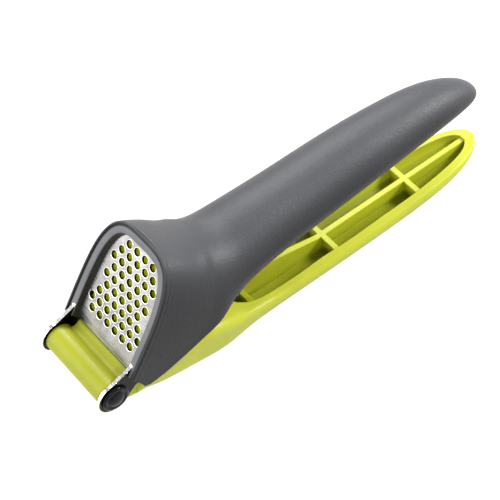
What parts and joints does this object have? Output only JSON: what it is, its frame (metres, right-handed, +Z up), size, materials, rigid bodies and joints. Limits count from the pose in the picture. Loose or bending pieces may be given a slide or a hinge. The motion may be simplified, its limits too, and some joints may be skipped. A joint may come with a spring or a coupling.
{
  "type": "garlic press",
  "caption": "Hand garlic press: a hooded upper handle with a pierced steel sieve turns on a front pin against a ribbed lower handle that carries the plunger.",
  "frame": {"origin": "under the middle of the closed press, on the surface that it lies on", "axes": "+X from the hinge towards the handles' tails, +Y across the press, +Z up"},
  "size_m": [0.1685, 0.0369, 0.0631],
  "materials": {
    "hard_grey": "hard nylon, satin",
    "soft_grey": "soft moulded rubber, fine matt texture",
    "steel_sheet": "satin stainless sheet with bright punched edges",
    "pin_steel": "drawn stainless wire",
    "pin_head": "polished black",
    "green_nylon": "glossy satin moulding",
    "green_foot": "glossy satin moulding"
  },
  "bodies": {
    "lower": {"lower_handle": "green_nylon", "plunger_foot": "green_foot"},
    "upper": {"hood_core": "hard_grey", "grip_skin": "soft_grey", "sieve": "steel_sheet", "hinge_pin": "pin_steel", "pin_head_near": "pin_head", "pin_head_far": "pin_head"}
  },
  "joints": [
    {"name": "press_hinge", "type": "hinge", "parent": "lower", "child": "upper", "pos_m": [-0.07835, 0, 0.022], "axis": [0, -1, 0], "range_deg": [0, 75]}
  ]
}
